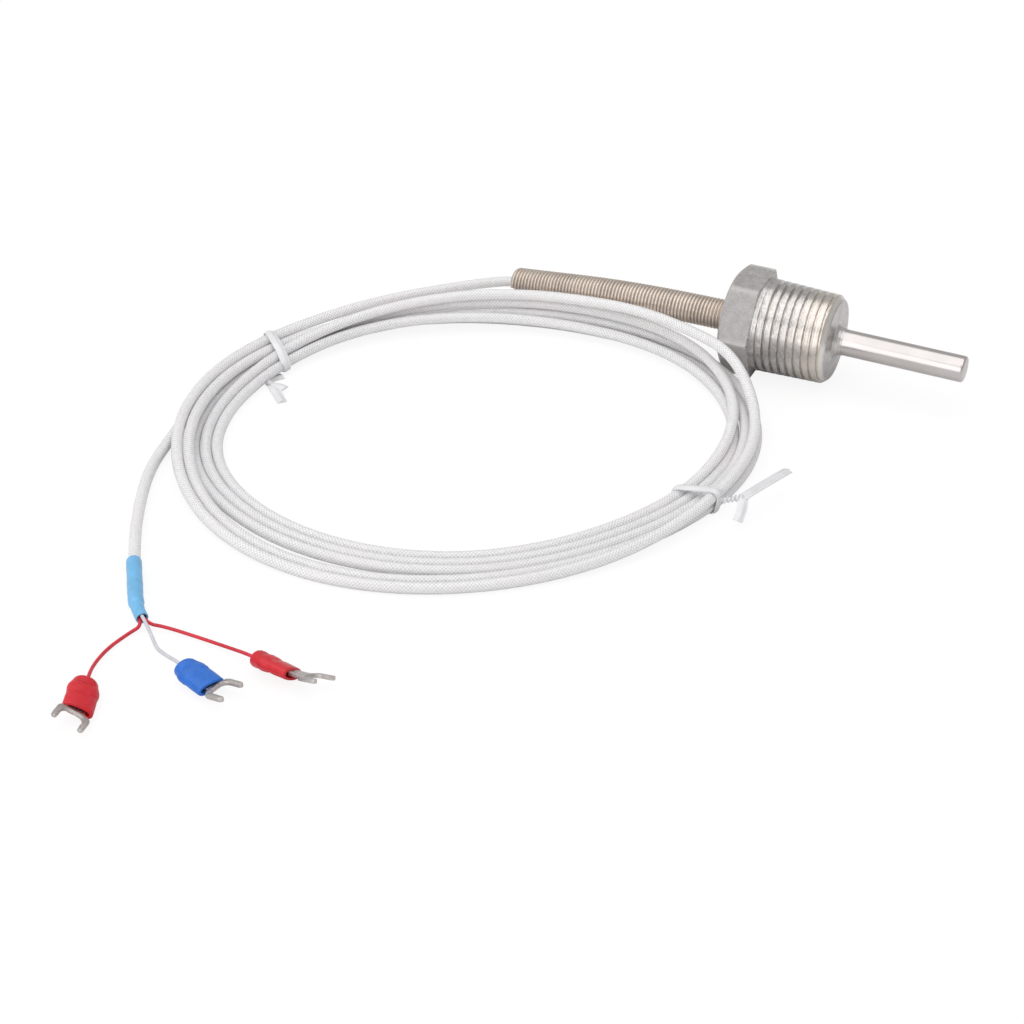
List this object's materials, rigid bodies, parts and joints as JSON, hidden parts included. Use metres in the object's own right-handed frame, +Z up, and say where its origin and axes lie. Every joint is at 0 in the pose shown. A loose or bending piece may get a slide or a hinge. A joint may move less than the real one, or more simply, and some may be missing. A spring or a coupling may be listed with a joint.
{
  "type": "temperature sensor",
  "caption": "Screw-in resistance temperature sensor: hexagon with taper pipe thread, thin steel probe, spring strain relief and a coiled shielded lead ending in fork terminals.",
  "frame": {"origin": "on the surface the sensor lies on, below its axis, at the rear face of the hexagon, half way between the probe's tip and the spring's free end", "axes": "+X along the sensor's axis towards the probe's tip, +Z up from the surface, the lead's coil towards -Y"},
  "size_m": [0.1536, 0.2002, 0.0221],
  "materials": {
    "fitting_steel": "turned and cast stainless steel",
    "probe_steel": "drawn stainless steel",
    "spring_steel": "bright drawn wire",
    "element_white": "glazed ceramic",
    "filler": "packed white powder",
    "potting": "cast resin",
    "cable": "clear jacket over silver braid",
    "shrink_blue": "shrunk sleeve",
    "lead_red": "smooth insulation",
    "lead_white": "smooth insulation",
    "tinned_copper": "tinned",
    "sleeve_red": "translucent moulded",
    "sleeve_blue": "translucent moulded",
    "tie_white": "flat plastic strip over wire"
  },
  "bodies": {
    "root": {"hex_fitting": "fitting_steel", "probe_sheath": "probe_steel", "sensing_element": "element_white", "tip_filler": "filler", "core_red_one": "lead_red", "core_red_two": "lead_red", "core_white": "lead_white", "potting_plug": "potting", "strain_relief_spring": "spring_steel", "cable_lead_in": "cable", "cable_coil": "cable", "cable_tail": "cable", "breakout_sleeve": "shrink_blue", "lead_red_left": "lead_red", "lead_white": "lead_white", "lead_red_right": "lead_red", "fork_left": "tinned_copper", "fork_middle": "tinned_copper", "fork_right": "tinned_copper", "sleeve_left": "sleeve_red", "sleeve_middle": "sleeve_blue", "sleeve_right": "sleeve_red", "twist_tie_rear": "tie_white", "twist_tie_front": "tie_white"}
  },
  "joints": []
}
